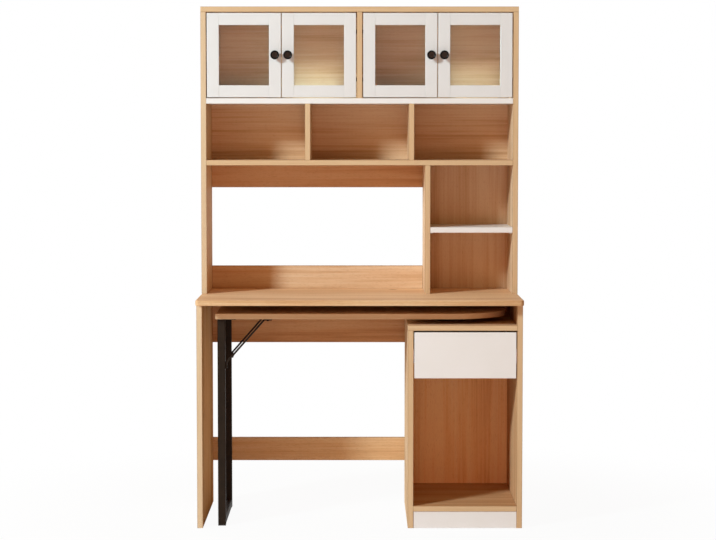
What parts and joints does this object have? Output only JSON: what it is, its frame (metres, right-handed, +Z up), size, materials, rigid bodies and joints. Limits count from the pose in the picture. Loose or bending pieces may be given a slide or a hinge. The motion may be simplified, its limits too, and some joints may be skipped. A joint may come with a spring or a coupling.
{
  "type": "student desk with hutch",
  "caption": "Desk with a bookcase hutch with framed glass doors, a drawer pedestal and a lower top on a steel leg that swivels out from under the desktop.",
  "frame": {"origin": "floor level, at the middle of the desktop's width and depth", "axes": "+Z up, -Y towards the sitter (the front), +X to the sitter's right"},
  "size_m": [1.06, 0.55, 1.708],
  "materials": {
    "oak_laminate": "satin oak-grain laminate",
    "white_laminate": "satin warm white",
    "drawer_board": "matt off-white",
    "clear_glass": "clear polished",
    "black_knob": "gloss black",
    "black_steel": "matt black powder coat",
    "zinc_steel": "zinc plated",
    "nickel_hinge": "nickel plated",
    "black_plastic": "matt",
    "white_nylon": "matt"
  },
  "bodies": {
    "case": {"left_side_panel": "oak_laminate", "right_side_panel": "oak_laminate", "desktop": "oak_laminate", "modesty_rail": "oak_laminate", "foot_rail": "oak_laminate", "pedestal_left_panel": "oak_laminate", "pedestal_floor_board": "oak_laminate", "kickboard": "white_laminate", "pedestal_back": "oak_laminate", "pedestal_top": "oak_laminate", "runner_channels": "zinc_steel", "pivot_post": "black_steel", "thrust_washer": "white_nylon", "pivot_screws": "black_steel", "hutch_left_side": "oak_laminate", "hutch_right_side": "oak_laminate", "hutch_top": "oak_laminate", "door_shelf": "white_laminate", "long_shelf": "oak_laminate", "door_divider": "oak_laminate", "cubby_dividers": "oak_laminate", "tower_divider": "oak_laminate", "tower_shelf": "white_laminate", "shelf_pins": "zinc_steel", "upper_back": "oak_laminate", "tower_back": "oak_laminate", "hutch_upper_rail": "oak_laminate", "hutch_lower_rail": "oak_laminate", "hinge_arms": "nickel_hinge"},
    "drawer": {"drawer_front": "white_laminate", "drawer_left_side": "drawer_board", "drawer_right_side": "drawer_board", "drawer_back": "drawer_board", "drawer_bottom": "drawer_board", "drawer_runner_rails": "zinc_steel"},
    "swivel_leaf": {"swivel_top": "oak_laminate", "pivot_plate_disc": "black_steel", "leg_front_post": "black_steel", "leg_rear_post": "black_steel", "leg_floor_rail": "black_steel", "leg_top_plate": "black_steel", "leg_glides": "black_plastic", "leg_braces": "black_steel", "swivel_screws": "black_steel"},
    "door_1": {"door_1_frame": "white_laminate", "door_1_glass": "clear_glass", "door_1_knob": "black_knob", "door_1_hinge_cups": "nickel_hinge"},
    "door_2": {"door_2_frame": "white_laminate", "door_2_glass": "clear_glass", "door_2_knob": "black_knob", "door_2_hinge_cups": "nickel_hinge"},
    "door_3": {"door_3_frame": "white_laminate", "door_3_glass": "clear_glass", "door_3_knob": "black_knob", "door_3_hinge_cups": "nickel_hinge"},
    "door_4": {"door_4_frame": "white_laminate", "door_4_glass": "clear_glass", "door_4_knob": "black_knob", "door_4_hinge_cups": "nickel_hinge"}
  },
  "joints": [
    {"name": "swivel", "type": "hinge", "parent": "case", "child": "swivel_leaf", "pos_m": [0.292, 0, 0.682], "axis": [0, 0, 1], "range_deg": [0, 90]},
    {"name": "drawer_slide", "type": "slide", "parent": "case", "child": "drawer", "axis": [0, -1, 0], "range_m": [0, 0.3]},
    {"name": "door_1_hinge", "type": "hinge", "parent": "case", "child": "door_1", "pos_m": [-0.509, 0.01, 1.547], "axis": [0, 0, -1], "range_deg": [0, 95]},
    {"name": "door_2_hinge", "type": "hinge", "parent": "case", "child": "door_2", "pos_m": [-0.012, 0.01, 1.547], "axis": [0, 0, 1], "range_deg": [0, 85]},
    {"name": "door_3_hinge", "type": "hinge", "parent": "case", "child": "door_3", "pos_m": [0.012, 0.01, 1.547], "axis": [0, 0, -1], "range_deg": [0, 85]},
    {"name": "door_4_hinge", "type": "hinge", "parent": "case", "child": "door_4", "pos_m": [0.509, 0.01, 1.547], "axis": [0, 0, 1], "range_deg": [0, 95]}
  ]
}
